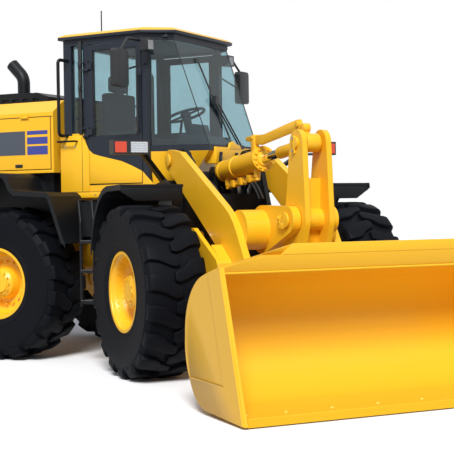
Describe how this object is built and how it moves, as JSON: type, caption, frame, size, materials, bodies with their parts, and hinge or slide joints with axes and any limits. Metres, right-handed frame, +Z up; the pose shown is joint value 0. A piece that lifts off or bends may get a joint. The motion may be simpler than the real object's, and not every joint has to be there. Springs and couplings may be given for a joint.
{
  "type": "articulated wheel loader",
  "caption": "Articulated wheel loader with Z-bar lift arms, a general purpose bucket, enclosed cab and engine hood, standing with its front half steered right.",
  "frame": {"origin": "point on the ground under the articulation pin, midway between the axles", "axes": "+X forward along the rear half, +Y to the machine's left, +Z up"},
  "size_m": [7.0358, 4.6692, 3.409],
  "materials": {
    "yellow_paint": "gloss",
    "dark_paint": "satin",
    "chrome_rod": "polished",
    "tyre_rubber": "matte",
    "tinted_glass": "clear",
    "black_plastic": "satin",
    "seat_fabric": "woven",
    "cast_block": "rough",
    "lamp_lens": "clear",
    "clear_lens": "clear",
    "amber_lens": "clear",
    "mirror_glass": "polished"
  },
  "bodies": {
    "rear_half": {"cab_body": "yellow_paint", "cab_controls": "black_plastic", "cab_frame": "dark_paint", "cab_glass": "tinted_glass", "cab_roof": "yellow_paint", "counterweight": "yellow_paint", "cowl": "yellow_paint", "engine": "cast_block", "exhaust": "dark_paint", "grab_rails": "dark_paint", "hood": "yellow_paint", "hood_frame": "dark_paint", "intake_vent": "dark_paint", "ladders": "dark_paint", "mirror_glass": "mirror_glass", "mirrors": "black_plastic", "rear_axle": "yellow_paint", "rear_fenders": "dark_paint", "rear_frame": "yellow_paint", "seat": "seat_fabric", "seat_base": "black_plastic", "side_tanks": "dark_paint", "tail_lamps": "lamp_lens", "windscreen": "tinted_glass", "work_lamp_lenses": "clear_lens"},
    "front_half": {"front_frame": "dark_paint", "front_axle": "yellow_paint", "front_fenders": "dark_paint", "headlamps": "black_plastic", "headlamp_lenses": "clear_lens", "turn_lenses": "amber_lens", "control_valve": "dark_paint"},
    "boom": {"boom": "yellow_paint"},
    "bucket": {"bucket": "yellow_paint", "cutting_edge": "dark_paint"},
    "bell_crank": {"bell_crank": "yellow_paint"},
    "bucket_link": {"bucket_link": "yellow_paint"},
    "lift_cylinder_tubes": {"lift_cylinders": "yellow_paint"},
    "lift_cylinder_rods": {"lift_rods": "chrome_rod"},
    "tilt_cylinder_tube": {"tilt_cylinder": "yellow_paint"},
    "tilt_cylinder_rod": {"tilt_rod": "chrome_rod"},
    "steering_tube_right": {"steering_cylinder_right": "yellow_paint"},
    "steering_tube_left": {"steering_cylinder_left": "yellow_paint"},
    "steering_rod_right": {"steering_rod_right": "chrome_rod"},
    "steering_rod_left": {"steering_rod_left": "chrome_rod"},
    "cab_door_right": {"door_right": "yellow_paint", "door_glass_right": "tinted_glass"},
    "cab_door_left": {"door_left": "yellow_paint", "door_glass_left": "tinted_glass"},
    "hood_door_right": {"hood_door_right": "yellow_paint"},
    "hood_door_left": {"hood_door_left": "yellow_paint"},
    "rear_grille": {"rear_grille": "dark_paint"},
    "wheel_front_right": {"tyre_front_right": "tyre_rubber", "rim_front_right": "yellow_paint"},
    "wheel_front_left": {"tyre_front_left": "tyre_rubber", "rim_front_left": "yellow_paint"},
    "wheel_rear_right": {"tyre_rear_right": "tyre_rubber", "rim_rear_right": "yellow_paint"},
    "wheel_rear_left": {"tyre_rear_left": "tyre_rubber", "rim_rear_left": "yellow_paint"}
  },
  "joints": [
    {"name": "articulation", "type": "hinge", "parent": "rear_half", "child": "front_half", "pos_m": [0, 0, 0.835], "axis": [0, 0, 1], "range_deg": [-1.5, 74.5]},
    {"name": "roll_front_right", "type": "hinge", "parent": "front_half", "child": "wheel_front_right", "pos_m": [0.57639, -1.60831, 0.735], "axis": [0.5948, 0.8039, 0], "continuous": true},
    {"name": "roll_front_left", "type": "hinge", "parent": "front_half", "child": "wheel_front_left", "pos_m": [1.70656, -0.08098, 0.735], "axis": [0.5948, 0.8039, 0], "continuous": true},
    {"name": "roll_rear_right", "type": "hinge", "parent": "rear_half", "child": "wheel_rear_right", "pos_m": [-1.42, -0.95, 0.735], "axis": [0, 1, 0], "continuous": true},
    {"name": "roll_rear_left", "type": "hinge", "parent": "rear_half", "child": "wheel_rear_left", "pos_m": [-1.42, 0.95, 0.735], "axis": [0, 1, 0], "continuous": true},
    {"name": "boom_lift", "type": "hinge", "parent": "front_half", "child": "boom", "pos_m": [0.62701, -0.46396, 1.87], "axis": [-0.5948, -0.8039, 0], "range_deg": [0, 85]},
    {"name": "bucket_tilt", "type": "hinge", "parent": "boom", "child": "bucket", "pos_m": [2.34726, -1.73688, 0.29], "axis": [0.5948, 0.8039, 0], "range_deg": [-45, 135]},
    {"name": "crank_swing", "type": "hinge", "parent": "boom", "child": "bell_crank", "pos_m": [2.06591, -1.52869, 1.33], "axis": [-0.5948, -0.8039, 0], "range_deg": [-12.25, 34.75]},
    {"name": "link_swing", "type": "hinge", "parent": "bucket", "child": "bucket_link", "pos_m": [2.33922, -1.73093, 0.575], "axis": [-0.5948, -0.8039, 0], "range_deg": [-32.5, 95.5]},
    {"name": "lift_cylinder_swing", "type": "hinge", "parent": "front_half", "child": "lift_cylinder_tubes", "pos_m": [0.25723, -0.19034, 0.82], "axis": [-0.5948, -0.8039, 0], "range_deg": [-1, 38.37]},
    {"name": "lift_rod_slide", "type": "slide", "parent": "lift_cylinder_tubes", "child": "lift_cylinder_rods", "axis": [0.7698, -0.5696, 0.2881], "range_m": [-0.01, 0.98406]},
    {"name": "tilt_cylinder_swing", "type": "hinge", "parent": "front_half", "child": "tilt_cylinder_tube", "pos_m": [0.72749, -0.53831, 1.757], "axis": [-0.5948, -0.8039, 0], "range_deg": [-1, 87.7]},
    {"name": "tilt_rod_slide", "type": "slide", "parent": "tilt_cylinder_tube", "child": "tilt_cylinder_rod", "axis": [0.7992, -0.5914, 0.1073], "range_m": [-0.2665, 0.0955]},
    {"name": "steering_swing_right", "type": "hinge", "parent": "rear_half", "child": "steering_tube_right", "pos_m": [-0.62, -0.3, 0.66], "axis": [0, 0, 1], "range_deg": [-1.49, 25.13]},
    {"name": "steering_slide_right", "type": "slide", "parent": "steering_tube_right", "child": "steering_rod_right", "axis": [0.9816, -0.1909, 0], "range_m": [-0.01843, 0.42876]},
    {"name": "steering_swing_left", "type": "hinge", "parent": "rear_half", "child": "steering_tube_left", "pos_m": [-0.62, 0.3, 0.66], "axis": [0, 0, 1], "range_deg": [-1.53, 27.34]},
    {"name": "steering_slide_left", "type": "slide", "parent": "steering_tube_left", "child": "steering_rod_left", "axis": [0.9724, -0.2332, 0], "range_m": [-0.35558, 0.01696]},
    {"name": "cab_door_right", "type": "hinge", "parent": "rear_half", "child": "cab_door_right", "pos_m": [-0.634, -0.726, 2.375], "axis": [0, 0, -1], "range_deg": [0, 85]},
    {"name": "cab_door_left", "type": "hinge", "parent": "rear_half", "child": "cab_door_left", "pos_m": [-0.634, 0.726, 2.375], "axis": [0, 0, 1], "range_deg": [0, 85]},
    {"name": "hood_door_right", "type": "hinge", "parent": "rear_half", "child": "hood_door_right", "pos_m": [-1.965, -0.762, 2.347], "axis": [-1, 0, 0], "range_deg": [0, 75]},
    {"name": "hood_door_left", "type": "hinge", "parent": "rear_half", "child": "hood_door_left", "pos_m": [-1.965, 0.762, 2.347], "axis": [1, 0, 0], "range_deg": [0, 75]},
    {"name": "rear_grille", "type": "hinge", "parent": "rear_half", "child": "rear_grille", "pos_m": [-2.943, 0.712, 1.9], "axis": [0, 0, -1], "range_deg": [0, 90]}
  ],
  "couplings": [
    {"joint": "crank_swing", "follows": "bucket_tilt", "ratio": 0.25},
    {"joint": "link_swing", "follows": "bucket_tilt", "ratio": 0.7},
    {"joint": "lift_cylinder_swing", "follows": "boom_lift", "ratio": 0.43963},
    {"joint": "lift_rod_slide", "follows": "boom_lift", "m_per_rad": 0.65658},
    {"joint": "tilt_cylinder_swing", "follows": "boom_lift", "ratio": 1.02},
    {"joint": "tilt_rod_slide", "follows": "bucket_tilt", "m_per_rad": -0.10886},
    {"joint": "steering_swing_right", "follows": "articulation", "ratio": 0.32395},
    {"joint": "steering_slide_right", "follows": "articulation", "m_per_rad": 0.32206},
    {"joint": "steering_swing_left", "follows": "articulation", "ratio": 0.35357},
    {"joint": "steering_slide_left", "follows": "articulation", "m_per_rad": -0.26577}
  ]
}
